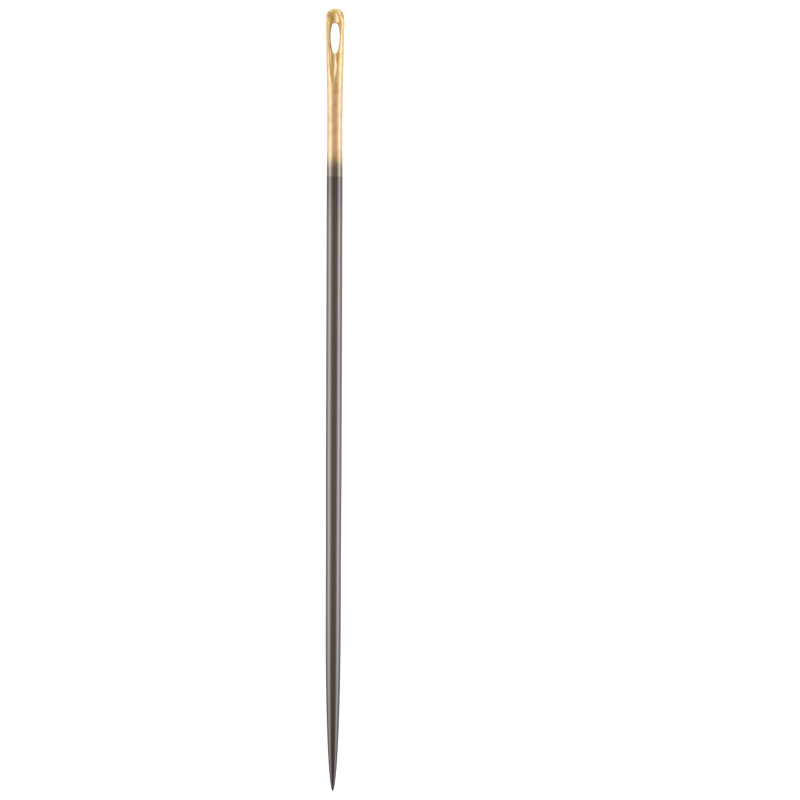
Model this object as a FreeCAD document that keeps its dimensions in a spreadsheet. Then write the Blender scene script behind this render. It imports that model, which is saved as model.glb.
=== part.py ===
"""Hand sewing needle, one piece of steel drawn from wire, stamped, ground and polished.

All sizes are in millimetres. The needle lies along Y with its eye end at +Y and its point
at -Y. The eye runs through it along Z, and the shank rests on the plane Z = 0.
"""

import FreeCAD, Part
import math
import os
import Sketcher

NODE = "needle"
START, END, CENTRE = range(1, 4)
ORIGIN = (-1, 1)
UP = FreeCAD.Vector(0, 0, 1)

# Driving sizes: name, value, what it measures.
SIZES = (
    ("needle_length", 50.0, "end of the head to the tip of the point"),
    ("shank_diameter", 1.016, "full wire size in the middle of the needle"),
    ("waist_diameter", 0.978, "slightly thinner waist where the stamped head ends"),
    ("swell_run", 2.3, "length over which the waist grows to the shank"),
    ("fore_diameter", 0.976, "thickness where the point begins"),
    ("fore_run", 4.2, "even stretch just before the point"),
    ("taper_run", 6.0, "length over which the shank thins down to that stretch"),
    ("point_length", 10.9, "ground point, a slender half ellipse in outline"),
    ("tip_radius", 0.05, "small rounding of the very tip"),
    ("crown_step", 0.46, "end of the head to the base of its dome"),
    ("crown_width", 1.104, "across the head at the base of the dome"),
    ("crown_depth", 0.74, "through the head at the base of the dome"),
    ("brow_step", 0.60, "base of the dome to the widest place"),
    ("brow_width", 1.218, "widest place, level with the top of the eye"),
    ("brow_depth", 0.86, "through the head at the widest place"),
    ("cheek_step", 0.72, "widest place to the middle of the eye"),
    ("cheek_width", 1.134, "across both strands in the middle of the eye"),
    ("cheek_depth", 0.95, "through the strands in the middle of the eye"),
    ("chin_step", 1.20, "middle of the eye to its lower end"),
    ("chin_width", 1.112, "across the head at the lower end of the eye"),
    ("chin_depth", 0.92, "through the head at the lower end of the eye"),
    ("foot_step", 1.47, "lower end of the eye to the foot of the gutter"),
    ("foot_width", 1.052, "across the head at the foot of the gutter"),
    ("foot_depth", 0.92, "through the head at the foot of the gutter"),
    ("neck_step", 1.65, "foot of the gutter to the neck"),
    ("neck_width", 0.992, "across the neck, where the head is nearly round again"),
    ("neck_depth", 0.975, "through the neck"),
    ("throat_step", 0.80, "neck to the even waist"),
    ("waist_run", 1.75, "length of the even waist"),
    ("eye_from_end", 0.92, "end of the head to the upper end of the eye"),
    ("eye_upper_length", 0.87, "upper end of the eye to its widest place"),
    ("eye_lower_length", 1.13, "widest place of the eye to its lower end"),
    ("eye_width", 0.60, "widest place of the egg-shaped eye"),
    ("eye_upper_radius", 0.22, "rounding of the upper end of the eye"),
    ("eye_lower_radius", 0.13, "tighter rounding of the lower end of the eye"),
    ("lip_radius", 0.09, "burnished rounding of the lips of the eye"),
    ("web_thickness", 0.50, "metal left between the gutters of the two faces"),
    ("gutter_radius", 0.29, "hollow of a gutter seen across the needle"),
    ("gutter_step", 1.66, "upper end of the eye to the deepest place of the gutter"),
    ("gutter_curve", 11.0, "bend of the gutter floor seen from the side"),
    ("scoop_step", 0.30, "upper end of the eye to the deepest place of the scoop"),
    ("scoop_curve", 4.0, "bend of the scoop above the eye seen from the side"),
    ("stamp_sweep", 50.0, "degrees that a stamp turns about its axis while it presses"),
)

doc = FreeCAD.newDocument("SewingNeedle")
sheet = doc.addObject("Spreadsheet::Sheet", "sizes")
for row, (name, value, meaning) in enumerate(SIZES, start=1):
    sheet.set("A%d" % row, name)
    sheet.set("B%d" % row, str(value))
    sheet.set("C%d" % row, meaning)
    sheet.setAlias("B%d" % row, name)
doc.recompute()


def below(place, *steps):
    """The place that lies the named steps further towards the point."""
    return place + "".join(" - sizes." + step for step in steps)


# Places along the needle, written as expressions of the sizes.
HEAD_END = "sizes.needle_length / 2"
POINT_END = "-sizes.needle_length / 2"
CROWN = below(HEAD_END, "crown_step")
BROW = below(CROWN, "brow_step")
CHEEK = below(BROW, "cheek_step")
CHIN = below(CHEEK, "chin_step")
FOOT = below(CHIN, "foot_step")
NECK = below(FOOT, "neck_step")
THROAT = below(NECK, "throat_step")
WAIST = below(THROAT, "waist_run")
SHANK = below(WAIST, "swell_run")
POINT_START = POINT_END + " + sizes.point_length"
FORE_START = POINT_START + " + sizes.fore_run"
TAPER_START = FORE_START + " + sizes.taper_run"
EYE_TOP = below(HEAD_END, "eye_from_end")
EYE_WIDEST = below(EYE_TOP, "eye_upper_length")
EYE_BOTTOM = below(EYE_WIDEST, "eye_lower_length")
AXIS_HEIGHT = "sizes.shank_diameter / 2"

body = doc.addObject("PartDesign::Body", NODE)
planes = {feature.Role: feature for feature in body.Origin.OriginFeatures}


def number(expression):
    """The present value of an expression of the sizes."""
    return float(sheet.evalExpression(expression))


def face_sketch(name):
    """A sketch seen from the face of the needle, at the height of its axis."""
    sketch = body.newObject("Sketcher::SketchObject", name)
    sketch.AttachmentSupport = [(planes["XY_Plane"], "")]
    sketch.MapMode = "FlatFace"
    sketch.setExpression("AttachmentOffset.Base.z", AXIS_HEIGHT)
    return sketch


def cross_sketch(name, place):
    """A sketch across the needle at a place along it, centred on the axis."""
    sketch = body.newObject("Sketcher::SketchObject", name)
    sketch.AttachmentSupport = [(planes["XZ_Plane"], "")]
    sketch.MapMode = "FlatFace"
    sketch.setExpression("AttachmentOffset.Base.y", AXIS_HEIGHT)
    sketch.setExpression("AttachmentOffset.Base.z", "-(" + place + ")")
    return sketch


def bind(sketch, expression, kind, *places):
    """Add a dimension that an expression drives."""
    index = sketch.addConstraint(Sketcher.Constraint(kind, *places, number(expression)))
    sketch.setExpression("Constraints[%d]" % index, expression)


def pin(sketch, edge, end, across, along):
    """Hold the end of an edge at two distances from the sketch origin."""
    bind(sketch, across, "DistanceX", *ORIGIN, edge, end)
    bind(sketch, along, "DistanceY", *ORIGIN, edge, end)


def add_lines(sketch, corners):
    """Add a chain of straight edges through the corners, each a pair of expressions."""
    points = [FreeCAD.Vector(number(across), number(along)) for across, along in corners]
    lines = [Part.LineSegment(*pair) for pair in zip(points, points[1:])]
    edges = [sketch.addGeometry(line, False) for line in lines]
    for edge, following in zip(edges, edges[1:]):
        sketch.addConstraint(Sketcher.Constraint("Coincident", edge, END, following, START))
    for edge, corner in zip(edges, corners):
        pin(sketch, edge, START, *corner)
    pin(sketch, edges[-1], END, *corners[-1])
    return edges


# Shank, fore part and point, turned about the axis of the needle.
profile = face_sketch("shank_profile")
sides = add_lines(
    profile,
    (
        ("0", THROAT),
        ("sizes.waist_diameter / 2", THROAT),
        ("sizes.waist_diameter / 2", WAIST),
        ("sizes.shank_diameter / 2", SHANK),
        ("sizes.shank_diameter / 2", TAPER_START),
        ("sizes.fore_diameter / 2", FORE_START),
        ("sizes.fore_diameter / 2", POINT_START),
    ),
)
half_fore = number("sizes.fore_diameter / 2")
point_length = number("sizes.point_length")
tip_radius = number("sizes.tip_radius")
point_base = FreeCAD.Vector(0, number(POINT_START))
point_end = FreeCAD.Vector(0, number(POINT_END))
ellipse = Part.Ellipse(
    point_base - FreeCAD.Vector(0, point_length),
    point_base + FreeCAD.Vector(half_fore, 0),
    point_base,
)
# The ellipse meets the rounding of the tip at about this angle, in radians.
touch = math.asin(
    math.sqrt((tip_radius * point_length / half_fore) ** 2 - half_fore**2) / point_length
)
ogive = profile.addGeometry(Part.ArcOfEllipse(ellipse, touch, math.pi / 2), False)
profile.exposeInternalGeometry(ogive)
long_axis = ogive + 1
circle = Part.Circle(point_end + FreeCAD.Vector(0, tip_radius), UP, tip_radius)
tip = profile.addGeometry(Part.ArcOfCircle(circle, -math.pi / 2, 0), False)
top = FreeCAD.Vector(0, number(THROAT))
middle = profile.addGeometry(Part.LineSegment(point_end, top), False)
pin(profile, ogive, CENTRE, "0", POINT_START)
pin(profile, middle, START, "0", POINT_END)
bind(profile, "sizes.tip_radius", "Radius", tip)
for constraint in (
    ("Vertical", long_axis),
    ("Coincident", sides[-1], END, ogive, END),
    ("Tangent", ogive, START, tip, END),
    ("PointOnObject", tip, CENTRE, middle),
    ("Coincident", tip, START, middle, START),
    ("Coincident", middle, END, sides[0], START),
):
    profile.addConstraint(Sketcher.Constraint(*constraint))
shank = body.newObject("PartDesign::Revolution", "shank_and_point")
shank.Profile = profile
shank.ReferenceAxis = (profile, ["V_Axis"])
shank.Angle = 360


def add_oval(name, place, width, depth):
    """A sketch of an oval across the head, as wide and deep as the expressions say."""
    sketch = cross_sketch(name, place)
    wide = FreeCAD.Vector(number(width) / 2, 0)
    deep = FreeCAD.Vector(0, number(depth) / 2)
    if width == depth:
        circle = Part.Circle(FreeCAD.Vector(), UP, wide.Length)
        ring = sketch.addGeometry(circle, False)
        bind(sketch, width, "Diameter", ring)
    elif wide.Length > deep.Length:
        ring = sketch.addGeometry(Part.Ellipse(wide, deep, FreeCAD.Vector()), False)
        sketch.exposeInternalGeometry(ring)
        sketch.addConstraint(Sketcher.Constraint("Horizontal", ring + 1))
        bind(sketch, width, "Distance", ring + 1)
        bind(sketch, depth, "Distance", ring + 2)
    else:
        ring = sketch.addGeometry(Part.Ellipse(deep, wide, FreeCAD.Vector()), False)
        sketch.exposeInternalGeometry(ring)
        sketch.addConstraint(Sketcher.Constraint("Vertical", ring + 1))
        bind(sketch, depth, "Distance", ring + 1)
        bind(sketch, width, "Distance", ring + 2)
    sketch.addConstraint(Sketcher.Constraint("Coincident", ring, CENTRE, *ORIGIN))
    return sketch


# The stamped head, from the base of its dome down to the round waist.
sections = [
    add_oval("crown", CROWN, "sizes.crown_width", "sizes.crown_depth"),
    add_oval("brow", BROW, "sizes.brow_width", "sizes.brow_depth"),
    add_oval("cheek", CHEEK, "sizes.cheek_width", "sizes.cheek_depth"),
    add_oval("chin", CHIN, "sizes.chin_width", "sizes.chin_depth"),
    add_oval("foot", FOOT, "sizes.foot_width", "sizes.foot_depth"),
    add_oval("neck", NECK, "sizes.neck_width", "sizes.neck_depth"),
    add_oval("throat", THROAT, "sizes.waist_diameter", "sizes.waist_diameter"),
]
doc.recompute()
head = body.newObject("PartDesign::AdditiveLoft", "head")
head.Profile = sections[0]
head.Sections = sections[1:]
doc.recompute()

# The domed end of the head, half an ellipsoid on the uppermost oval.
dome = body.newObject("PartDesign::AdditiveEllipsoid", "dome")
dome.AttachmentSupport = [(planes["XZ_Plane"], "")]
dome.MapMode = "FlatFace"
dome.setExpression("AttachmentOffset.Base.y", AXIS_HEIGHT)
dome.setExpression("AttachmentOffset.Base.z", "-(" + CROWN + ")")
dome.setExpression("Radius1", "sizes.crown_step")
dome.setExpression("Radius2", "sizes.crown_width / 2")
dome.setExpression("Radius3", "sizes.crown_depth / 2")
dome.Angle1 = -90
dome.Angle2 = 0
doc.recompute()


# The egg-shaped eye, punched right through the head before the gutters are pressed.
eye_sketch = face_sketch("eye_outline")


def add_end(radius, end_place, centre_place, side):
    """Add one end of the eye, anticlockwise from the given side: flank, cap, flank."""
    size = number(radius)
    half = number("sizes.eye_width / 2")
    widest = FreeCAD.Vector(side * half, number(EYE_WIDEST))
    end = FreeCAD.Vector(0, number(end_place))
    centre = FreeCAD.Vector(0, number(centre_place))
    flank = ((centre.y - widest.y) ** 2 + half**2 - size**2) / (2 * (half - size))
    bow = widest - FreeCAD.Vector(side * flank, 0)
    joint = centre + (centre - bow).normalize() * size
    bulge = bow + (joint + widest - bow * 2).normalize() * flank
    other = [FreeCAD.Vector(-point.x, point.y) for point in (joint, bulge, widest)]
    arcs = (
        Part.Arc(widest, bulge, joint),
        Part.Arc(joint, end, other[0]),
        Part.Arc(*other),
    )
    first, cap, second = [eye_sketch.addGeometry(arc, False) for arc in arcs]
    pin(eye_sketch, cap, CENTRE, "0", centre_place)
    bind(eye_sketch, radius, "Radius", cap)
    eye_sketch.addConstraint(Sketcher.Constraint("Tangent", first, END, cap, START))
    eye_sketch.addConstraint(Sketcher.Constraint("Tangent", cap, END, second, START))
    return first, second


upper = add_end("sizes.eye_upper_radius", EYE_TOP, EYE_TOP + " - sizes.eye_upper_radius", 1)
lower = add_end(
    "sizes.eye_lower_radius", EYE_BOTTOM, EYE_BOTTOM + " + sizes.eye_lower_radius", -1
)
pin(eye_sketch, upper[0], START, "sizes.eye_width / 2", EYE_WIDEST)
pin(eye_sketch, upper[1], END, "-sizes.eye_width / 2", EYE_WIDEST)
for flank in upper:
    bind(eye_sketch, EYE_WIDEST, "DistanceY", *ORIGIN, flank, CENTRE)
eye_sketch.addConstraint(Sketcher.Constraint("Tangent", upper[1], END, lower[0], START))
eye_sketch.addConstraint(Sketcher.Constraint("Tangent", lower[1], END, upper[0], START))
doc.recompute()
punch = body.newObject("PartDesign::Pocket", "eye")
punch.Profile = eye_sketch
punch.Type = "ThroughAll"
punch.SideType = "Symmetric"
doc.recompute()


def lip_edges(shape):
    """Names of the edges where the upright wall of the eye meets the faces of the head."""
    rims = []
    for face in shape.Faces:
        if isinstance(face.Surface, Part.Cylinder) and math.isclose(abs(face.Surface.Axis.z), 1):
            rims += [edge for edge in face.Edges if not isinstance(edge.Curve, Part.Line)]
    names = []
    for index, edge in enumerate(shape.Edges, start=1):
        if any(edge.isSame(rim) for rim in rims):
            names.append("Edge%d" % index)
    return names


lips = body.newObject("PartDesign::Fillet", "lips")
lips.Base = (punch, lip_edges(punch.Shape))
lips.setExpression("Radius", "sizes.lip_radius")
doc.recompute()


def add_stamp(name, place, curve):
    """Press one face with a round-edged roller that reaches deepest at the given place."""
    sketch = cross_sketch(name + "_profile", place)
    hollow = "sizes.web_thickness / 2 + sizes.gutter_radius"
    pivot = "sizes.web_thickness / 2 + " + curve
    middle = FreeCAD.Vector(0, number(hollow))
    edge = Part.Circle(middle, UP, number("sizes.gutter_radius"))
    ring = sketch.addGeometry(edge, False)
    pin(sketch, ring, CENTRE, "0", hollow)
    bind(sketch, "sizes.gutter_radius", "Radius", ring)
    start = FreeCAD.Vector(0, number(pivot))
    axis = sketch.addGeometry(Part.LineSegment(start, start + FreeCAD.Vector(1, 0)), True)
    pin(sketch, axis, START, "0", pivot)
    pin(sketch, axis, END, "1", pivot)
    stamp = body.newObject("PartDesign::Groove", name)
    stamp.Profile = sketch
    stamp.ReferenceAxis = (sketch, ["Axis0"])
    stamp.Midplane = True
    stamp.setExpression("Angle", "sizes.stamp_sweep")
    doc.recompute()
    return stamp


# A long gutter below the eye and a short scoop above it, on both faces.
gutter = add_stamp("gutter", below(EYE_TOP, "gutter_step"), "sizes.gutter_curve")
scoop = add_stamp("scoop", below(EYE_TOP, "scoop_step"), "sizes.scoop_curve")
mirror = body.newObject("PartDesign::Mirrored", "other_face")
mirror.Originals = [gutter, scoop]
mirror.MirrorPlane = (gutter.Profile[0], ["H_Axis"])
body.Tip = mirror
doc.recompute()

# Every feature must have been made before anything is written.
for item in doc.Objects:
    if "Invalid" in item.State or "Error" in item.State:
        raise RuntimeError("%s could not be made" % item.Label)
if body.Shape.isNull() or not body.Shape.isValid():
    raise RuntimeError("the needle has no valid shape")
if len(body.Shape.Solids) != 1:
    raise RuntimeError("the needle is not one solid")
os.makedirs("parts", exist_ok=True)
body.Shape.exportStep("parts/%s.step" % NODE)
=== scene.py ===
"""Hand sewing needle, dressed for its picture: polished steel with a gold-plated eye end.

The file is laid out as a Blender add-on and run as a script. Its sizes are in metres, in the
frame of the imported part: the needle lies along Y with its eye end at +Y, rests on the plane
Z = 0, and its eye runs through it along Z.
"""

import math

import bmesh
import bpy
import numpy as np
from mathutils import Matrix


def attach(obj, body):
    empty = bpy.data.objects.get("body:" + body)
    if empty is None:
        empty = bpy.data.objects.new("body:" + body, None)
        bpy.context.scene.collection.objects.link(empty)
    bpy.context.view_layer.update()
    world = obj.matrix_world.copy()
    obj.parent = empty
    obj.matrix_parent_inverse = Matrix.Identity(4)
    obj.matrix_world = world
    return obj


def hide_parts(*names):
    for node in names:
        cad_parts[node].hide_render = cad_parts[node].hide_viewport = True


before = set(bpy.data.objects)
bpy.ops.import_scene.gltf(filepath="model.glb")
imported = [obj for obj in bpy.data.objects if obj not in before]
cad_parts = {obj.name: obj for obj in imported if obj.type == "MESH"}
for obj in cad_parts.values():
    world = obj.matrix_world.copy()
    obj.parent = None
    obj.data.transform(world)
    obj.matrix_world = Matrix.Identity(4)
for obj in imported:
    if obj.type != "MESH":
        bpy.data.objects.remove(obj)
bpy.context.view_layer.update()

bl_info = {
    "name": "Sewing Needle",
    "version": (1, 0, 0),
    "blender": (4, 5, 0),
    "location": "3D Viewport > Sidebar > Needle",
    "description": "Makes a polished hand sewing needle, its finish and a plain studio",
    "category": "Add Mesh",
}

NODE = "needle"
BODY = "root"
MM = 0.001

# Outer form of the stamped head: distance from its end, width and thickness, in millimetres.
HEAD_FORM = (
    (0.00, 1.010, 0.66),
    (0.50, 1.122, 0.77),
    (1.00, 1.216, 0.85),
    (1.35, 1.170, 0.91),
    (1.75, 1.134, 0.95),
    (2.40, 1.117, 0.94),
    (3.30, 1.098, 0.92),
    (4.40, 1.052, 0.92),
    (5.40, 1.008, 0.955),
    (6.90, 0.978, 0.978),
)

# Numbers of faces: round a quarter of the needle, over an end of the eye, and along it.
QUARTER_FACES = 24
CAP_FACES = 8
CROWN_FACES = 26
EYE_FACES = 64
GUTTER_FACES = 84
LIP_FACES = 7
WALL_FACES = 5
SHANK_FACES = 170

# Painted shade on both faces, brown patches beside the eye and at the crown: place across and
# from the end of the head, half width and half length, in millimetres, and depth.
SHADE_PATCHES = (
    (-0.33, 1.75, 0.17, 1.35, 1.0),
    (-0.20, 0.64, 0.18, 0.30, 0.9),
    (0.37, 1.15, 0.12, 0.65, 1.0),
    (0.16, 3.15, 0.16, 0.50, 1.0),
    (-0.46, 0.36, 0.20, 0.34, 1.0),
    (0.46, 0.36, 0.18, 0.34, 0.9),
)

# A patch of painted shade is full over the inner part of its ellipse: its gradient is raised
# by this.
SHADE_PATCH_CORE = 2.2

# Length on either side of the eye's middle over which the strands are squarer, in millimetres.
SQUARE_REACH = 1.8

# Lean of the rows of faces beside the eye, as a share of the lip's rounding.
ROW_LEAN = 0.35

# Length below the eye over which the rows of faces settle to the plain ring, in millimetres.
SETTLE_LENGTH = 1.2

# Fading of the gold in millimetres: full this far before its edge, gone this far before it, and
# how much the two lines waver. The thin brim beyond ends over twice its softness.
FULL_GOLD_END = 1.8
LAST_GOLD_END = 0.4
GOLD_WAVER = 0.7
BRIM_WAVER = 0.15
BRIM_SOFTNESS = 0.05

# Sizes of the patterns in the finish, in millimetres.
RAGGED_SIZE = 0.35
CLOUD_SIZE = 0.5
HEAT_LENGTH = 4.0
HAIR_WIDTH = 0.05
HAIR_LENGTH = 2.5
HAIR_RELIEF = 0.004

# Place of the change from the thick plating of the head to the paler one, in millimetres.
THICK_GOLD_END = 3.0
PALE_GOLD_START = 6.0

# Directions of the studio's light as shares of one: how far sideways each light is its own, and
# how high both are at full strength.
LIGHT_SIDE = 0.7
LIGHT_FULL = 0.25

# Middle of the picture across and along the needle, and half the width of the floor, in metres.
PICTURE_MIDDLE = (4.222 * MM, 0.001 * MM)
FLOOR_REACH = 3.0

# How far a point lies round the lip of the eye, from 0 on a face of the head to 1 on the wall.
EYE_WALL = "eye_wall"

# Seams whose points lie closer than this, in metres, are closed.
SEAM = 3e-8

# Kinds of nodes that every tree here uses.
MATH = "ShaderNodeMath"
SPLIT = "ShaderNodeSeparateXYZ"


def to_linear(code):
    """Turn a hex colour as seen on a screen into the linear values that shaders use."""
    parts = [int(code[place : place + 2], 16) / 255 for place in (1, 3, 5)]
    return [part / 12.92 if part <= 0.04045 else ((part + 0.055) / 1.055) ** 2.4 for part in parts]


def add_node(tree, kind, inputs=(), **settings):
    """Add a node with its settings; its inputs get a value or a link each, by name or in order."""
    node = tree.nodes.new(kind)
    for name, value in settings.items():
        setattr(node, name, value)
    for key, value in inputs.items() if isinstance(inputs, dict) else enumerate(inputs):
        if isinstance(value, bpy.types.Node):
            value = value.outputs[0]
        if isinstance(value, bpy.types.NodeSocket):
            tree.links.new(value, node.inputs[key])
        else:
            node.inputs[key].default_value = value
    return node


def length_size(label, meaning, millimetres):
    """A length that a user can change, shown in the scene's own unit."""
    return bpy.props.FloatProperty(
        name=label, description=meaning, default=millimetres * MM, min=0, unit="LENGTH",
        precision=5,
    )


class NeedleSizes(bpy.types.PropertyGroup):
    """Sizes of the needle that give its form."""

    length: length_size("Length", "End of the head to the tip of the point", 50.0)
    shank_diameter: length_size("Shank", "Full thickness in the middle of the needle", 1.016)
    waist_diameter: length_size("Waist", "Thickness just below the stamped head", 0.978)
    fore_diameter: length_size("Fore part", "Thickness where the point begins", 0.976)
    head_length: length_size("Head", "End of the head to the round waist", 6.9)
    dome_length: length_size("Dome", "Rounded end of the head", 0.45)
    swell_start: length_size("Swell start", "End of the head to where the waist grows", 8.4)
    swell_end: length_size("Swell end", "End of the head to the full shank", 11.2)
    taper_start: length_size("Taper start", "End of the head to where the shank thins", 28.4)
    taper_end: length_size("Taper end", "End of the head to the even fore part", 35.4)
    point_start: length_size("Point start", "End of the head to the ground point", 39.1)
    tip_radius: length_size("Tip radius", "Small rounding of the very tip", 0.05)
    eye_top: length_size("Eye top", "End of the head to the upper end of the eye", 0.92)
    eye_widest: length_size("Eye middle", "End of the head to the widest place of the eye", 1.79)
    eye_bottom: length_size("Eye bottom", "End of the head to the lower end of the eye", 2.92)
    eye_width: length_size("Eye width", "Widest place of the eye", 0.60)
    upper_radius: length_size("Upper radius", "Rounding of the upper end of the eye", 0.22)
    lower_radius: length_size("Lower radius", "Rounding of the lower end of the eye", 0.13)
    lip_radius: length_size("Lip", "Burnished rounding of the lips of the eye", 0.09)
    web_thickness: length_size("Web", "Metal left between the gutters of both faces", 0.50)
    gutter_radius: length_size("Gutter", "Hollow of a gutter seen across the needle", 0.29)
    gutter_place: length_size("Gutter place", "End of the head to the deepest place", 2.58)
    gutter_curve: length_size("Gutter curve", "Bend of the gutter seen from the side", 11.0)
    stamp_offset: length_size("Stamp offset", "How far the gutters sit left of the middle", 0.14)
    scoop_web: length_size("Scoop web", "Metal left between the scoops of both faces", 0.32)
    scoop_radius: length_size("Scoop", "Hollow of a scoop seen across the needle", 0.50)
    scoop_place: length_size("Scoop place", "End of the head to the deepest place", 1.22)
    scoop_curve: length_size("Scoop curve", "Bend of the scoop seen from the side", 4.0)
    left_shoulder: bpy.props.FloatProperty(
        name="Left shoulder", description="How square the strand left of the eye is",
        default=0.9, min=0, soft_max=2, subtype="FACTOR",
    )
    right_shoulder: bpy.props.FloatProperty(
        name="Right shoulder", description="How square the strand right of the eye is",
        default=0.2, min=0, soft_max=2, subtype="FACTOR",
    )
    edge_softness: length_size("Edges", "Softness of the edges of the gutters", 0.05)


class NeedleFinish(bpy.types.PropertyGroup):
    """Colours and polish of the needle."""

    steel: bpy.props.FloatVectorProperty(
        name="Steel", description="Bare polished steel", default=to_linear("#8E8A89"),
        subtype="COLOR", min=0, max=1,
    )
    warm_steel: bpy.props.FloatVectorProperty(
        name="Warm steel", description="Faint purple of the steel beside the plating",
        default=to_linear("#827A7B"), subtype="COLOR", min=0, max=1,
    )
    point_steel: bpy.props.FloatVectorProperty(
        name="Point steel", description="Dark, finely ground steel of the very tip",
        default=to_linear("#3F3C3B"), subtype="COLOR", min=0, max=1,
    )
    head_gold: bpy.props.FloatVectorProperty(
        name="Head gold", description="Thick yellow plating of the head",
        default=to_linear("#F6D66E"), subtype="COLOR", min=0, max=1,
    )
    gold: bpy.props.FloatVectorProperty(
        name="Gold", description="Paler plating of the shank", default=to_linear("#F6D08A"),
        subtype="COLOR", min=0, max=1,
    )
    deep_gold: bpy.props.FloatVectorProperty(
        name="Deep gold", description="Darker clouds in the plating", default=to_linear("#E2AA50"),
        subtype="COLOR", min=0, max=1,
    )
    # Colour of the painted shade beside the eye and at the crown.
    painted_shade: bpy.props.FloatVectorProperty(
        name="Tarnish", description="Brown tarnish beside the eye", default=to_linear("#CE9A34"),
        subtype="COLOR", min=0, max=1,
    )
    # How strongly the painted shade darkens the gold.
    painted_shade_depth: bpy.props.FloatProperty(
        name="Tarnish depth", description="How far the tarnish covers the gold", default=0.7,
        min=0, max=1, subtype="FACTOR",
    )
    # Colour of the painted shade on the lip and wall of the eye.
    eye_wall_shade: bpy.props.FloatVectorProperty(
        name="Eye brown", description="Dull wall inside the eye", default=to_linear("#9A7440"),
        subtype="COLOR", min=0, max=1,
    )
    thin_gold: bpy.props.FloatVectorProperty(
        name="Thin gold", description="Last and thinnest edge of the plating",
        default=to_linear("#9D968B"), subtype="COLOR", min=0, max=1,
    )
    gold_length: length_size("Gold length", "End of the head to the edge of the plating", 10.75)
    steel_roughness: bpy.props.FloatProperty(
        name="Steel roughness", description="Polish of the steel", default=0.2, min=0, max=1,
        subtype="FACTOR",
    )
    gold_roughness: bpy.props.FloatProperty(
        name="Gold roughness", description="Satin of the plating", default=0.66, min=0, max=1,
        subtype="FACTOR",
    )
    film: bpy.props.FloatProperty(
        name="Film", description="Clear hard skin on the plating", default=1.0, min=0, max=1,
        subtype="FACTOR",
    )
    film_ior: bpy.props.FloatProperty(
        name="Film gloss", description="Refraction of the clear skin", default=3.1, min=1, max=4,
        subtype="FACTOR",
    )
    film_roughness: bpy.props.FloatProperty(
        name="Film roughness", description="Polish of the clear skin", default=0.22, min=0, max=1,
        subtype="FACTOR",
    )
    edge_tint: bpy.props.FloatProperty(
        name="Edge tint", description="Brightness of the steel at a grazing view", default=0.6,
        min=0, max=1, subtype="FACTOR",
    )


class StageLook(bpy.types.PropertyGroup):
    """Floor, light and camera."""

    floor: bpy.props.FloatVectorProperty(
        name="Floor", description="Plain pale floor", default=to_linear("#CCCCCC"),
        subtype="COLOR", min=0, max=1,
    )
    floor_glow: bpy.props.FloatProperty(
        name="Floor glow", description="Light of its own that keeps the floor white", default=0.82,
        min=0, max=1, subtype="FACTOR",
    )
    mirror_glow: bpy.props.FloatProperty(
        name="Mirrored glow", description="The same light as the metal mirrors it", default=0.36,
        min=0, max=1, subtype="FACTOR",
    )
    light: bpy.props.FloatVectorProperty(
        name="Light", description="Colour of the light near the horizon",
        default=to_linear("#FFFCFB"), subtype="COLOR", min=0, max=1,
    )
    brightness: bpy.props.FloatProperty(
        name="Brightness", description="Strength of the light near the horizon", default=1.94,
        min=0, soft_max=4, subtype="FACTOR",
    )
    left_share: bpy.props.FloatProperty(
        name="Left share", description="Strength at the left against the right", default=0.95,
        min=0, max=1, subtype="FACTOR",
    )
    fade_start: bpy.props.FloatProperty(
        name="Fade start", description="Where the side lights begin to fade, as a share of a turn",
        default=0.6, min=0, max=1, subtype="FACTOR",
    )
    fade_end: bpy.props.FloatProperty(
        name="Fade end", description="Where the side lights have faded, as a share of a turn",
        default=0.1, min=0, max=1, subtype="FACTOR",
    )
    end_share: bpy.props.FloatProperty(
        name="End share", description="Strength at the ends of the needle against the sides",
        default=0.35, min=0, max=1, subtype="FACTOR",
    )
    left_top: bpy.props.FloatProperty(
        name="Left top", description="How high the light at the left reaches, as a share",
        default=0.98, min=0, max=2, subtype="FACTOR",
    )
    right_top: bpy.props.FloatProperty(
        name="Right top", description="How high the light at the right reaches, as a share",
        default=0.86, min=0, max=2, subtype="FACTOR",
    )
    ceiling: bpy.props.FloatVectorProperty(
        name="Ceiling", description="Dim light from straight above", default=to_linear("#9A8F88"),
        subtype="COLOR", min=0, max=1,
    )
    field: length_size("Field", "Width that the camera takes in", 51.11)
    lens: bpy.props.FloatProperty(
        name="Lens", description="Focal length of the camera in millimetres", default=200, min=10,
        subtype="DISTANCE_CAMERA",
    )
    roll: bpy.props.FloatProperty(
        name="Roll", description="Lean of the needle in the picture", default=math.radians(0.186),
        subtype="ANGLE",
    )


def smooth_line(places, values):
    """A function that runs smoothly through the values, with a natural cubic spline."""
    steps = np.diff(places)
    slopes = np.diff(values) / steps
    matrix = np.eye(len(places))
    right = np.zeros(len(places))
    for row in range(1, len(places) - 1):
        before, after = steps[row - 1], steps[row]
        matrix[row, row - 1 : row + 2] = before, 2 * (before + after), after
        right[row] = 6 * (slopes[row] - slopes[row - 1])
    bends = np.linalg.solve(matrix, right)

    def value_at(place):
        part = np.clip(np.searchsorted(places, place) - 1, 0, len(steps) - 1)
        before, after, step = place - places[part], places[part + 1] - place, steps[part]
        curve = (bends[part] * after**3 + bends[part + 1] * before**3) / (6 * step)
        start = (values[part] / step - bends[part] * step / 6) * after
        return curve + start + (values[part + 1] / step - bends[part + 1] * step / 6) * before

    return value_at


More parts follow.
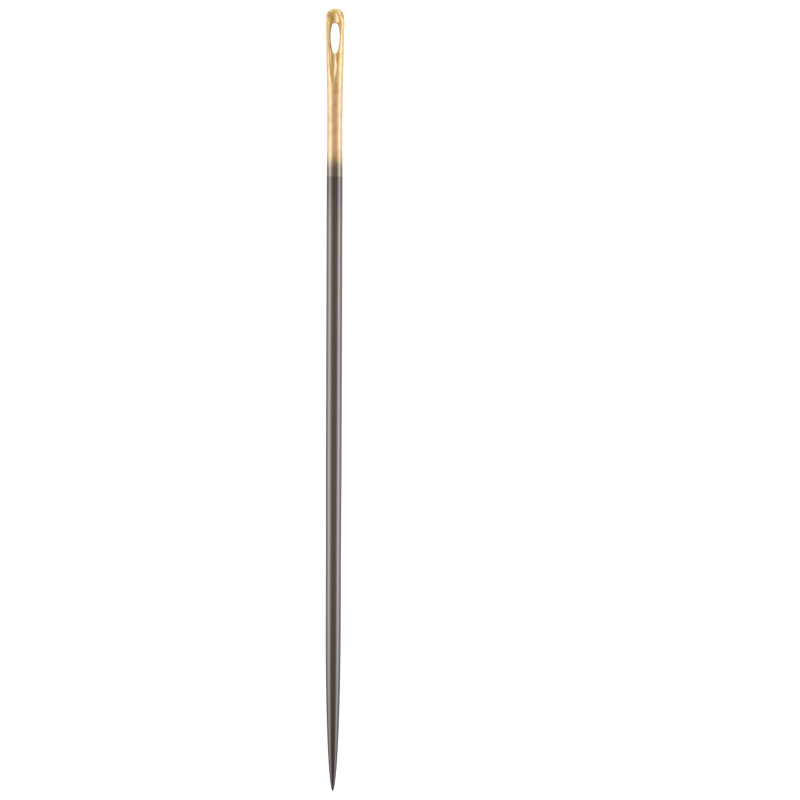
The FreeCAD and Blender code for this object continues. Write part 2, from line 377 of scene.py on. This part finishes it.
def head_surface(sizes, side):
    """Functions for one side of the head's upper face, from an angle and a place along it."""
    table = np.array(HEAD_FORM) * MM
    half_width = smooth_line(table[:, 0], table[:, 1] / 2)
    half_depth = smooth_line(table[:, 0], table[:, 2] / 2)
    roundness = 2.2

    def hollow(across, along, web, radius, place, curve):
        reach = abs(across + side * sizes.stamp_offset)
        if reach >= radius or abs(along - place) >= curve:
            return math.inf
        floor = web / 2 + curve - math.sqrt(curve**2 - (along - place) ** 2)
        return floor + radius - math.sqrt(radius**2 - reach**2)

    def dome(along):
        if along >= sizes.dome_length:
            return 1.0
        return (1 - (1 - along / sizes.dome_length) ** roundness) ** (1 / roundness)

    def across_at(angle, along):
        return half_width(along) * dome(along) * math.sin(angle)

    def angle_at(across, along):
        return math.asin(min(1.0, across / (half_width(along) * dome(along))))

    def height_at(angle, along):
        across = across_at(angle, along)
        near = max(0.0, 1 - ((along - sizes.eye_widest) / (SQUARE_REACH * MM)) ** 2)
        power = 2 + near * near * (sizes.left_shoulder if side < 0 else sizes.right_shoulder)
        outer = half_depth(along) * dome(along) * (1 - math.sin(angle) ** power) ** (1 / power)
        gutter = sizes.web_thickness, sizes.gutter_radius, sizes.gutter_place, sizes.gutter_curve
        scoop = sizes.scoop_web, sizes.scoop_radius, sizes.scoop_place, sizes.scoop_curve
        groove = min(hollow(across, along, *gutter), hollow(across, along, *scoop))
        if groove - outer >= sizes.edge_softness:
            return outer
        share = min(1.0, max(0.0, 0.5 + (groove - outer) / (2 * sizes.edge_softness)))
        mixed = groove * (1 - share) + outer * share
        return mixed - sizes.edge_softness * share * (1 - share)

    return across_at, angle_at, height_at


def eye_arcs(sizes):
    """The right half of the eye as four arcs: first and last direction, centre and radius."""
    half = sizes.eye_width / 2
    arcs = []
    for end, radius, way in (
        (sizes.eye_top, sizes.upper_radius, 1),
        (sizes.eye_bottom, sizes.lower_radius, -1),
    ):
        centre = end + way * radius
        reach = sizes.eye_widest - centre
        flank = (reach**2 + half**2 - radius**2) / (2 * (half - radius))
        turn = math.asin(reach / (flank - radius))
        cap = (math.pi / 2 - abs(turn), (0.0, centre), radius)
        side = (abs(turn), (half - flank, sizes.eye_widest), flank)
        arcs += [cap, side] if way > 0 else [side, cap]
    return arcs


def eye_point(arcs, direction, offset):
    """The point of the eye's outline that faces a direction, moved outwards by an offset."""
    start = 0.0
    for turn, centre, radius in arcs:
        if direction <= start + turn or (turn, centre, radius) == arcs[-1]:
            break
        start += turn
    reach = radius + offset
    return centre[0] + reach * math.sin(direction), centre[1] - reach * math.cos(direction)


def even_directions(arcs, offset, first, last, count):
    """Directions between two others whose points lie evenly along the offset outline."""
    marks, lengths = [0.0], [0.0]
    for turn, _, radius in arcs:
        marks.append(marks[-1] + turn)
        lengths.append(lengths[-1] + turn * (radius + offset))
    ends = np.interp([first, last], marks, lengths)
    return [float(mark) for mark in np.interp(np.linspace(*ends, count + 1), lengths, marks)]


def quarter_of_head(sizes, side):
    """Corners and faces of a quarter of the head: one side of it above the middle plane."""
    across_at, angle_at, height_at = head_surface(sizes, side)
    arcs = eye_arcs(sizes)
    lip = sizes.lip_radius
    upper_corner, lower_corner = math.radians(45), math.radians(135)
    upper = even_directions(arcs, lip, 0.0, upper_corner, CAP_FACES)
    flank = even_directions(arcs, lip, upper_corner, lower_corner, EYE_FACES)
    lower = even_directions(arcs, lip, lower_corner, math.pi, CAP_FACES)[::-1]
    ring = [math.pi / 2 * column / QUARTER_FACES for column in range(QUARTER_FACES + 1)]
    first_row, last_row = CROWN_FACES, CROWN_FACES + EYE_FACES
    rows = last_row + GUTTER_FACES

    def on_lip(direction):
        across, along = eye_point(arcs, direction, lip)
        return angle_at(across, along), along

    def strand_row(direction):
        angle, along = on_lip(direction)
        side = along - ROW_LEAN * lip * math.cos(direction) * math.sqrt(2) * 2
        last = QUARTER_FACES - CAP_FACES
        shares = [column / last for column in range(last + 1)]
        return [
            (angle + (math.pi / 2 - angle) * share, along + (side - along) * share)
            for share in shares
        ]

    grid = {}
    for row, direction in enumerate(flank):
        for column, place in enumerate(strand_row(direction)):
            grid[first_row + row, CAP_FACES + column] = place
    for column, direction in enumerate(upper):
        grid[first_row, column] = on_lip(direction)
    for column, direction in enumerate(lower):
        grid[last_row, column] = on_lip(direction)
    for column in range(QUARTER_FACES + 1):
        angle, along = grid[first_row, column]
        for row in range(first_row):
            share = row / first_row
            rise = 1 - math.cos(share * math.pi / 2)
            place = along * (0.55 * rise + 0.45 * share * share)
            grid[row, column] = (ring[column] + (angle - ring[column]) * share, place)
        angle, along = grid[last_row, column]
        for row in range(last_row + 1, rows + 1):
            share = (row - last_row) / GUTTER_FACES
            place = along + (sizes.head_length - along) * (0.45 * share + 0.55 * share * share)
            settle = min(1.0, (place - along) / (SETTLE_LENGTH * MM))
            settle = settle * settle * (3 - 2 * settle)
            grid[row, column] = (angle + (ring[column] - angle) * settle, place)

    corners = [(0.0, 0.0, 0.0)]
    index = {}
    for (row, column), (angle, along) in grid.items():
        if row == 0:
            index[row, column] = 0
            continue
        index[row, column] = len(corners)
        corners.append((across_at(angle, along), along, height_at(angle, along)))
    faces = []
    for row in range(rows):
        for column in range(QUARTER_FACES):
            if first_row <= row < last_row and column < CAP_FACES:
                continue
            loop = [
                index[row, column], index[row + 1, column],
                index[row + 1, column + 1], index[row, column + 1],
            ]
            faces.append(loop if row else loop[:3])

    rim = [index[first_row, column] for column in range(CAP_FACES)]
    rim += [index[row, CAP_FACES] for row in range(first_row, last_row + 1)]
    rim += [index[last_row, column] for column in range(CAP_FACES - 1, -1, -1)]
    directions = upper[:-1] + flank + lower[-2::-1]
    wall = [0.0] * len(corners)
    for step in range(1, LIP_FACES + WALL_FACES + 1):
        turn = math.pi / 2 * min(1.0, step / LIP_FACES)
        below = min(1.0, max(0.0, (step - LIP_FACES) / WALL_FACES))
        inner = []
        for direction in directions:
            across, along = eye_point(arcs, direction, lip * (1 - math.sin(turn)))
            height = height_at(angle_at(max(0.0, across), along), along)
            height = height - lip * (1 - math.cos(turn))
            inner.append(len(corners))
            corners.append((across, along, height * (1 - below)))
            wall.append(min(1.0, step / LIP_FACES))
        for place in range(len(rim) - 1):
            faces.append([rim[place], inner[place], inner[place + 1], rim[place + 1]])
        rim = inner
    return corners, faces, wall


def head_mesh(sizes):
    """The whole head as a mesh that is open only at its round waist."""
    end = sizes.length / 2
    axis_height = sizes.shank_diameter / 2
    bm = bmesh.new()
    depth_in_eye = bm.verts.layers.float.new(EYE_WALL)
    for side, face_up in ((1, 1), (-1, 1), (1, -1), (-1, -1)):
        corners, faces, wall = quarter_of_head(sizes, side)
        made = [
            bm.verts.new((side * x, end - along, axis_height + face_up * z))
            for x, along, z in corners
        ]
        for corner, depth in zip(made, wall):
            corner[depth_in_eye] = depth
        for loop in faces:
            order = loop if side * face_up > 0 else loop[::-1]
            bm.faces.new([made[corner] for corner in order])
    bmesh.ops.remove_doubles(bm, verts=bm.verts, dist=1e-8)
    bmesh.ops.recalc_face_normals(bm, faces=bm.faces)
    mesh = bpy.data.meshes.new("needle_head")
    bm.to_mesh(mesh)
    bm.free()
    return mesh


def shank_tree():
    """Geometry nodes that turn the shank and point after their rule and join them to the head."""
    tree = bpy.data.node_groups.new("needle_shank", "GeometryNodeTree")
    tree.is_modifier = True
    face = tree.interface
    face.new_socket("Geometry", in_out="OUTPUT", socket_type="NodeSocketGeometry")
    face.new_socket("Geometry", in_out="INPUT", socket_type="NodeSocketGeometry")
    for name in (
        "Length", "Head Length", "Swell Start", "Swell End", "Taper Start", "Taper End",
        "Point Start", "Waist Diameter", "Shank Diameter", "Fore Diameter", "Ogive Reach",
        "Tip Start", "Tip Radius",
    ):
        face.new_socket(name, in_out="INPUT", socket_type="NodeSocketFloat").subtype = "DISTANCE"
    for name, count in (("Sides", 4 * QUARTER_FACES), ("Rings", SHANK_FACES)):
        face.new_socket(name, in_out="INPUT", socket_type="NodeSocketInt").default_value = count
    face.new_socket("Material", in_out="INPUT", socket_type="NodeSocketMaterial")
    size = add_node(tree, "NodeGroupInput").outputs

    columns = add_node(tree, MATH, (size["Sides"], 1.0), operation="ADD")
    rows = add_node(tree, MATH, (size["Rings"], 1.0), operation="ADD")
    grid = {"Size X": 1.0, "Size Y": 1.0, "Vertices X": columns, "Vertices Y": rows}
    sheet = add_node(tree, "GeometryNodeMeshGrid", grid)
    spot = add_node(tree, SPLIT, [add_node(tree, "GeometryNodeInputPosition")]).outputs

    # Across the sheet runs the angle round the needle, and along it the place, closest at the tip.
    turn = add_node(tree, MATH, (spot["X"], 0.5), operation="ADD")
    angle = add_node(tree, MATH, (turn, math.tau), operation="MULTIPLY")
    down = add_node(tree, MATH, (0.5, spot["Y"]), operation="SUBTRACT")
    quarter = add_node(tree, MATH, (down, math.pi / 2), operation="MULTIPLY")
    share = add_node(tree, MATH, [quarter], operation="SINE")
    run = add_node(tree, MATH, (size["Length"], size["Head Length"]), operation="SUBTRACT")
    along = add_node(tree, MATH, (share, run, size["Head Length"]), operation="MULTIPLY_ADD")

    # The waist swells to the shank, and the shank thins to the fore part.
    waist, shank, fore = (size[name + " Diameter"] for name in ("Waist", "Shank", "Fore"))
    swell = add_node(
        tree,
        "ShaderNodeMapRange",
        (along, size["Swell Start"], size["Swell End"], waist, shank),
        interpolation_type="SMOOTHSTEP",
    )
    loss = add_node(tree, MATH, (shank, fore), operation="SUBTRACT")
    taper = add_node(
        tree,
        "ShaderNodeMapRange",
        (along, size["Taper Start"], size["Taper End"], 0.0, loss),
        interpolation_type="SMOOTHSTEP",
    )
    wire = add_node(tree, MATH, (swell, taper), operation="SUBTRACT")

    # The ground point is a slender half ellipse in outline.
    past = add_node(tree, MATH, (along, size["Point Start"]), operation="SUBTRACT")
    reach = add_node(tree, MATH, (past, 0.0), operation="MAXIMUM")
    ground = add_node(tree, MATH, (reach, size["Ogive Reach"]), operation="DIVIDE")
    square = add_node(tree, MATH, (ground, 2.0), operation="POWER")
    kept = add_node(tree, MATH, (1.0, square), operation="SUBTRACT")
    kept = add_node(tree, MATH, (kept, 0.0), operation="MAXIMUM")
    slim = add_node(tree, MATH, [kept], operation="SQRT")
    half_wire = add_node(tree, MATH, (wire, 0.5), operation="MULTIPLY")
    radius = add_node(tree, MATH, (half_wire, slim), operation="MULTIPLY")

    # The very tip is a small ball.
    centre = add_node(tree, MATH, (size["Length"], size["Tip Radius"]), operation="SUBTRACT")
    over = add_node(tree, MATH, (along, centre), operation="SUBTRACT")
    over_square = add_node(tree, MATH, (over, over), operation="MULTIPLY")
    tip_square = add_node(tree, MATH, (size["Tip Radius"], 2.0), operation="POWER")
    rest = add_node(tree, MATH, (tip_square, over_square), operation="SUBTRACT")
    rest = add_node(tree, MATH, (rest, 0.0), operation="MAXIMUM")
    ball = add_node(tree, MATH, [rest], operation="SQRT")
    at_tip = add_node(tree, MATH, (along, size["Tip Start"]), operation="GREATER_THAN")
    radius = add_node(tree, "GeometryNodeSwitch", (at_tip, radius, ball), input_type="FLOAT")

    sine = add_node(tree, MATH, [angle], operation="SINE")
    cosine = add_node(tree, MATH, [angle], operation="COSINE")
    half_length = add_node(tree, MATH, (size["Length"], 0.5), operation="MULTIPLY")
    axis_height = add_node(tree, MATH, (size["Shank Diameter"], 0.5), operation="MULTIPLY")
    across = add_node(tree, MATH, (radius, sine), operation="MULTIPLY")
    forward = add_node(tree, MATH, (half_length, along), operation="SUBTRACT")
    height = add_node(tree, MATH, (radius, cosine, axis_height), operation="MULTIPLY_ADD")
    place = add_node(tree, "ShaderNodeCombineXYZ", (across, forward, height))
    turned = add_node(tree, "GeometryNodeSetPosition", {"Geometry": sheet, "Position": place})
    joined = add_node(tree, "GeometryNodeJoinGeometry", [turned])
    tree.links.new(size["Geometry"], joined.inputs[0])
    merged = add_node(tree, "GeometryNodeMergeByDistance", {"Geometry": joined, "Distance": SEAM})
    smooth = add_node(tree, "GeometryNodeSetShadeSmooth", [merged])
    realized = add_node(tree, "GeometryNodeRealizeInstances", [smooth])
    painted = add_node(
        tree, "GeometryNodeSetMaterial", {"Geometry": realized, "Material": size["Material"]}
    )
    add_node(tree, "NodeGroupOutput", [painted])
    return tree


def point_ellipse(sizes):
    """Reach of the half ellipse of the point, and the place where the round tip takes over."""
    half = sizes.fore_diameter / 2
    tip = sizes.tip_radius
    length = sizes.length - sizes.point_start
    reach = length
    for _ in range(20):
        sine = math.sqrt(((tip * reach / half) ** 2 - half**2) / (reach**2 - half**2))
        cosine = math.sqrt(1 - sine**2)
        reach = (length - tip) / cosine + half**2 / reach
    return reach, sizes.point_start + reach * cosine


def plated_steel(finish, sizes):
    """Drawn carbon steel, tumbled to a bright polish, its eye end plated with thin satin gold."""
    material = bpy.data.materials.new("gold_plated_polished_steel")
    material.use_nodes = True
    tree = material.node_tree
    tree.nodes.clear()
    place = add_node(tree, "ShaderNodeTexCoord").outputs["Object"]
    spot = add_node(tree, SPLIT, [place]).outputs
    along = add_node(tree, MATH, (sizes.length / 2, spot["Y"]), operation="SUBTRACT")

    # The plating thins out over more than a millimetre and ends in a slightly ragged line.
    ragged = add_node(
        tree,
        "ShaderNodeTexNoise",
        {"Vector": place, "Scale": 1 / (RAGGED_SIZE * MM), "Detail": 4.0, "Roughness": 0.6},
    )
    shift = add_node(tree, MATH, (ragged, 0.5), operation="SUBTRACT")
    edge = add_node(tree, MATH, (shift, GOLD_WAVER * MM, along), operation="MULTIPLY_ADD")
    brim = add_node(tree, MATH, (shift, BRIM_WAVER * MM, along), operation="MULTIPLY_ADD")
    first, last = (finish.gold_length - end * MM for end in (FULL_GOLD_END, LAST_GOLD_END))
    full = add_node(
        tree, "ShaderNodeMapRange", (edge, first, last, 1.0, 0.0), interpolation_type="SMOOTHSTEP"
    )
    first, last = (finish.gold_length + way * BRIM_SOFTNESS * MM for way in (-1, 1))
    thin = add_node(
        tree, "ShaderNodeMapRange", (brim, first, last, 1.0, 0.0), interpolation_type="SMOOTHSTEP"
    )

    # Thin gold is cloudy, with darker, redder clouds of about half a millimetre.
    cloud = add_node(
        tree,
        "ShaderNodeTexNoise",
        {"Vector": place, "Scale": 1 / (CLOUD_SIZE * MM), "Detail": 2.0, "Roughness": 0.5},
    )
    depth = add_node(
        tree, "ShaderNodeMapRange", (cloud, 0.45, 0.70, 0.0, 0.6), interpolation_type="SMOOTHSTEP"
    )

    # Tumbling in fine abrasive leaves hair lines along the needle. The real ones are a few
    # thousandths of a millimetre wide, and they are drawn 0.05 mm wide so that they show.
    fine, long = 1 / (HAIR_WIDTH * MM), 1 / (HAIR_LENGTH * MM)
    drawn = add_node(tree, "ShaderNodeMapping", {"Vector": place, "Scale": (fine, long, fine)})
    hair = add_node(tree, "ShaderNodeTexNoise", {"Vector": drawn, "Scale": 1.0, "Detail": 2.0})
    hair_shift = add_node(tree, MATH, (hair, 0.5), operation="SUBTRACT")

    # The plating is thick and yellow on the head, and paler down the shank.
    below = add_node(
        tree,
        "ShaderNodeMapRange",
        (along, THICK_GOLD_END * MM, PALE_GOLD_START * MM, 0.0, 1.0),
        interpolation_type="SMOOTHSTEP",
    )
    plating = add_node(
        tree,
        "ShaderNodeMix",
        {"Factor": below, "A": (*finish.head_gold, 1.0), "B": (*finish.gold, 1.0)},
        data_type="RGBA",
    )
    gold = add_node(
        tree,
        "ShaderNodeMix",
        {"Factor": depth, "A": plating.outputs["Result"], "B": (*finish.deep_gold, 1.0)},
        data_type="RGBA",
    )

    # Painted shade: brown patches beside the eye and at the crown, which the clouds break up.
    shade_mask = None
    for across, from_end, half_width, half_length, strength in SHADE_PATCHES:
        spread = (half_width * MM, half_length * MM, 1.0)
        centre = (across * MM, sizes.length / 2 - from_end * MM, 0.0)
        patch = add_node(
            tree,
            "ShaderNodeMapping",
            {"Vector": place, "Location": centre, "Scale": spread},
            vector_type="TEXTURE",
        )
        soft = add_node(tree, "ShaderNodeTexGradient", [patch], gradient_type="SPHERICAL")
        deep = add_node(
            tree, MATH, (soft, SHADE_PATCH_CORE * strength), operation="MULTIPLY", use_clamp=True
        )
        shade_mask = deep if shade_mask is None else add_node(tree, MATH, (shade_mask, deep), operation="MAXIMUM")
    uneven = add_node(tree, "ShaderNodeMapRange", (cloud, 0.3, 0.7, 0.7, 1.0))
    shade_cover = add_node(tree, MATH, (shade_mask, uneven), operation="MULTIPLY")
    shade_cover = add_node(tree, MATH, (shade_cover, finish.painted_shade_depth), operation="MULTIPLY")
    gold = add_node(
        tree,
        "ShaderNodeMix",
        {"Factor": shade_cover, "A": gold.outputs["Result"], "B": (*finish.painted_shade, 1.0)},
        data_type="RGBA",
    )

    # Heat has left a faint purple beside the plating, and the ground point darkens to its tip.
    cooled = add_node(
        tree,
        "ShaderNodeMapRange",
        (along, finish.gold_length, finish.gold_length + HEAT_LENGTH * MM, 0.0, 1.0),
        interpolation_type="SMOOTHSTEP",
    )
    wire = add_node(
        tree,
        "ShaderNodeMix",
        {"Factor": cooled, "A": (*finish.warm_steel, 1.0), "B": (*finish.steel, 1.0)},
        data_type="RGBA",
    )
    reach = add_node(
        tree, "ShaderNodeMapRange", (along, sizes.length * 0.4, sizes.length, 0.0, 1.0)
    )
    ground = add_node(tree, MATH, (reach, 4.0), operation="POWER")
    dark = add_node(tree, MATH, (ground, 0.75), operation="MULTIPLY")
    steel = add_node(
        tree,
        "ShaderNodeMix",
        {"Factor": dark, "A": wire.outputs["Result"], "B": (*finish.point_steel, 1.0)},
        data_type="RGBA",
    )
    bare = add_node(
        tree,
        "ShaderNodeMix",
        {"Factor": thin, "A": steel.outputs["Result"], "B": (*finish.thin_gold, 1.0)},
        data_type="RGBA",
    )
    colour = add_node(
        tree,
        "ShaderNodeMix",
        {"Factor": full, "A": bare.outputs["Result"], "B": gold.outputs["Result"]},
        data_type="RGBA",
    )
    satin = add_node(
        tree,
        "ShaderNodeMapRange",
        (full, 0.0, 1.0, finish.steel_roughness, finish.gold_roughness),
    )

    # Painted shade on the lip and wall of the eye: both are darkened to brown, and the clear
    # skin is left off there.
    wall = add_node(tree, "ShaderNodeAttribute", attribute_name=EYE_WALL).outputs["Fac"]
    wall_shade = add_node(
        tree, "ShaderNodeMapRange", (wall, 0.3, 1.0, 0.0, 1.0), interpolation_type="SMOOTHSTEP"
    )
    colour = add_node(
        tree,
        "ShaderNodeMix",
        {"Factor": wall_shade, "A": colour.outputs["Result"], "B": (*finish.eye_wall_shade, 1.0)},
        data_type="RGBA",
    )
    # The clear skin thins where shade is painted beside the eye and at the crown.
    unshaded = add_node(tree, MATH, (shade_cover, -0.9, 1.0), operation="MULTIPLY_ADD")
    bright = add_node(tree, MATH, (unshaded, wall_shade), operation="SUBTRACT", use_clamp=True)
    skin = add_node(tree, MATH, (full, bright), operation="MULTIPLY")
    rough = add_node(tree, MATH, (hair_shift, 0.08, satin), operation="MULTIPLY_ADD")
    rim = add_node(tree, "ShaderNodeMapRange", (full, 0.0, 1.0, finish.edge_tint, 0.0))
    relief = add_node(
        tree, "ShaderNodeBump", {"Strength": 0.25, "Distance": HAIR_RELIEF * MM, "Height": hair}
    )
    shader = add_node(
        tree,
        "ShaderNodeBsdfPrincipled",
        {
            "Base Color": colour.outputs["Result"],
            "Metallic": 1.0,
            "Roughness": rough,
            "Normal": relief,
            "Specular Tint": rim,
            "Coat Weight": add_node(tree, MATH, (skin, finish.film), operation="MULTIPLY"),
            "Coat Roughness": finish.film_roughness,
            "Coat IOR": finish.film_ior,
        },
    )
    add_node(tree, "ShaderNodeOutputMaterial", [shader])
    return material


class NEEDLE_OT_make_needle(bpy.types.Operator):
    """Make the needle in one piece, with its stamped eye, shank, point and finish"""

    bl_idname = "needle.make_needle"
    bl_label = "Make Needle"

    def execute(self, context):
        sizes = context.scene.needle_sizes
        finish = context.scene.needle_finish
        material = plated_steel(finish, sizes)
        draft = bpy.data.objects.new("needle_draft", head_mesh(sizes))
        context.scene.collection.objects.link(draft)
        modifier = draft.modifiers.new("shank", "NODES")
        modifier.node_group = shank_tree()
        ogive_reach, tip_start = point_ellipse(sizes)
        values = {
            "Length": sizes.length,
            "Head Length": sizes.head_length,
            "Swell Start": sizes.swell_start,
            "Swell End": sizes.swell_end,
            "Taper Start": sizes.taper_start,
            "Taper End": sizes.taper_end,
            "Point Start": sizes.point_start,
            "Waist Diameter": sizes.waist_diameter,
            "Shank Diameter": sizes.shank_diameter,
            "Fore Diameter": sizes.fore_diameter,
            "Ogive Reach": ogive_reach,
            "Tip Start": tip_start,
            "Tip Radius": sizes.tip_radius,
            "Sides": QUARTER_FACES * 4,
            "Rings": SHANK_FACES,
            "Material": material,
        }
        for item in modifier.node_group.interface.items_tree:
            if item.in_out == "INPUT" and item.name in values:
                modifier[item.identifier] = values[item.name]
        draft.update_tag()
        depsgraph = context.evaluated_depsgraph_get()
        mesh = bpy.data.meshes.new_from_object(draft.evaluated_get(depsgraph))
        bpy.data.objects.remove(draft)
        mesh.name = "polished_needle"
        needle = bpy.data.objects.new("polished_needle", mesh)
        context.scene.collection.objects.link(needle)
        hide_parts(NODE)
        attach(needle, BODY)
        return {"FINISHED"}


def studio_world(look):
    """Long low lights at the left and right, in a room that is dim overhead and at both ends."""
    world = bpy.data.worlds.new("studio")
    world.use_nodes = True
    tree = world.node_tree
    tree.nodes.clear()
    ray = add_node(tree, "ShaderNodeTexCoord").outputs["Generated"]
    way = add_node(tree, SPLIT, [ray]).outputs

    # The light at the left reaches higher up than the one at the right.
    sides = -LIGHT_SIDE, LIGHT_SIDE
    top = add_node(tree, "ShaderNodeMapRange", (way["X"], *sides, look.left_top, look.right_top))
    height = add_node(
        tree,
        "ShaderNodeMapRange",
        (way["Z"], LIGHT_FULL, top, 1.0, 0.0),
        interpolation_type="SMOOTHSTEP",
    )

    # Towards the ends of the needle the lights fade out.
    square = add_node(tree, MATH, (way["Z"], way["Z"]), operation="MULTIPLY")
    level = add_node(tree, MATH, (1.0, square), operation="SUBTRACT")
    flat = add_node(tree, MATH, [level], operation="SQRT")
    sideways = add_node(tree, MATH, (way["X"], flat), operation="DIVIDE")
    turned = add_node(tree, MATH, [sideways], operation="ABSOLUTE")
    long = add_node(
        tree,
        "ShaderNodeMapRange",
        (turned, look.fade_end, look.fade_start, look.end_share, 1.0),
        interpolation_type="SMOOTHSTEP",
    )
    side = add_node(
        tree,
        "ShaderNodeMapRange",
        (way["X"], *sides, look.brightness * look.left_share, look.brightness),
        interpolation_type="SMOOTHSTEP",
    )
    strength = add_node(tree, MATH, (side, long), operation="MULTIPLY")
    low = add_node(tree, "ShaderNodeBackground", ((*look.light, 1.0), strength))
    high = add_node(tree, "ShaderNodeBackground", [(*look.ceiling, 1.0)])
    both = add_node(tree, "ShaderNodeMixShader", (height, high, low))
    add_node(tree, "ShaderNodeOutputWorld", [both])
    return world


def white_floor(look):
    """Matt pale board; light of its own makes it white to the eye, and the metal mirrors some."""
    material = bpy.data.materials.new("matt_white_board")
    material.use_nodes = True
    tree = material.node_tree
    tree.nodes.clear()
    path = add_node(tree, "ShaderNodeLightPath").outputs
    mirrored = add_node(
        tree, MATH, (path["Is Glossy Ray"], path["Is Transmission Ray"]), operation="MAXIMUM"
    )
    direct = add_node(tree, MATH, (path["Is Camera Ray"], look.floor_glow), operation="MULTIPLY")
    strength = add_node(tree, MATH, (mirrored, look.mirror_glow, direct), operation="MULTIPLY_ADD")
    matt = add_node(tree, "ShaderNodeBsdfDiffuse", [(*look.floor, 1.0)])
    glow = add_node(tree, "ShaderNodeEmission", {"Strength": strength})
    both = add_node(tree, "ShaderNodeAddShader", (matt, glow))
    add_node(tree, "ShaderNodeOutputMaterial", [both])
    return material


class NEEDLE_OT_make_stage(bpy.types.Operator):
    """Make the floor, the light and the camera"""

    bl_idname = "needle.make_stage"
    bl_label = "Make Stage"

    def execute(self, context):
        scene = context.scene
        look = scene.needle_stage
        scene.world = studio_world(look)
        scene.view_settings.view_transform = "Standard"

        bm = bmesh.new()
        bmesh.ops.create_grid(bm, x_segments=1, y_segments=1, size=FLOOR_REACH)
        mesh = bpy.data.meshes.new("floor")
        bm.to_mesh(mesh)
        bm.free()
        mesh.materials.append(white_floor(look))
        floor = bpy.data.objects.new("floor", mesh)
        scene.collection.objects.link(floor)

        camera = bpy.data.cameras.new("camera")
        camera.lens = look.lens
        camera.sensor_width = 36.0
        holder = bpy.data.objects.new("camera", camera)
        distance = look.field * look.lens / camera.sensor_width
        axis_height = scene.needle_sizes.shank_diameter / 2
        holder.location = (*PICTURE_MIDDLE, axis_height + distance)
        holder.rotation_euler = (0.0, 0.0, look.roll)
        scene.collection.objects.link(holder)
        scene.camera = holder
        return {"FINISHED"}


class NEEDLE_PT_sidebar(bpy.types.Panel):
    """Sizes, finish and stage of the needle"""

    bl_label = "Sewing Needle"
    bl_space_type = "VIEW_3D"
    bl_region_type = "UI"
    bl_category = "Needle"

    def draw(self, context):
        for group, operator in (
            (context.scene.needle_sizes, None),
            (context.scene.needle_finish, NEEDLE_OT_make_needle.bl_idname),
            (context.scene.needle_stage, NEEDLE_OT_make_stage.bl_idname),
        ):
            column = self.layout.column(align=True)
            for name in group.__annotations__:
                column.prop(group, name)
            if operator:
                self.layout.operator(operator)


CLASSES = (
    NeedleSizes,
    NeedleFinish,
    StageLook,
    NEEDLE_OT_make_needle,
    NEEDLE_OT_make_stage,
    NEEDLE_PT_sidebar,
)
GROUPS = {"needle_sizes": NeedleSizes, "needle_finish": NeedleFinish, "needle_stage": StageLook}


def register():
    for cls in CLASSES:
        bpy.utils.register_class(cls)
    for name, group in GROUPS.items():
        setattr(bpy.types.Scene, name, bpy.props.PointerProperty(type=group))


def unregister():
    for name in GROUPS:
        delattr(bpy.types.Scene, name)
    for cls in reversed(CLASSES):
        bpy.utils.unregister_class(cls)


def main():
    """Register the classes, and make the needle and its stage."""
    register()
    bpy.ops.needle.make_needle()
    bpy.ops.needle.make_stage()


if __name__ == "__main__":
    main()
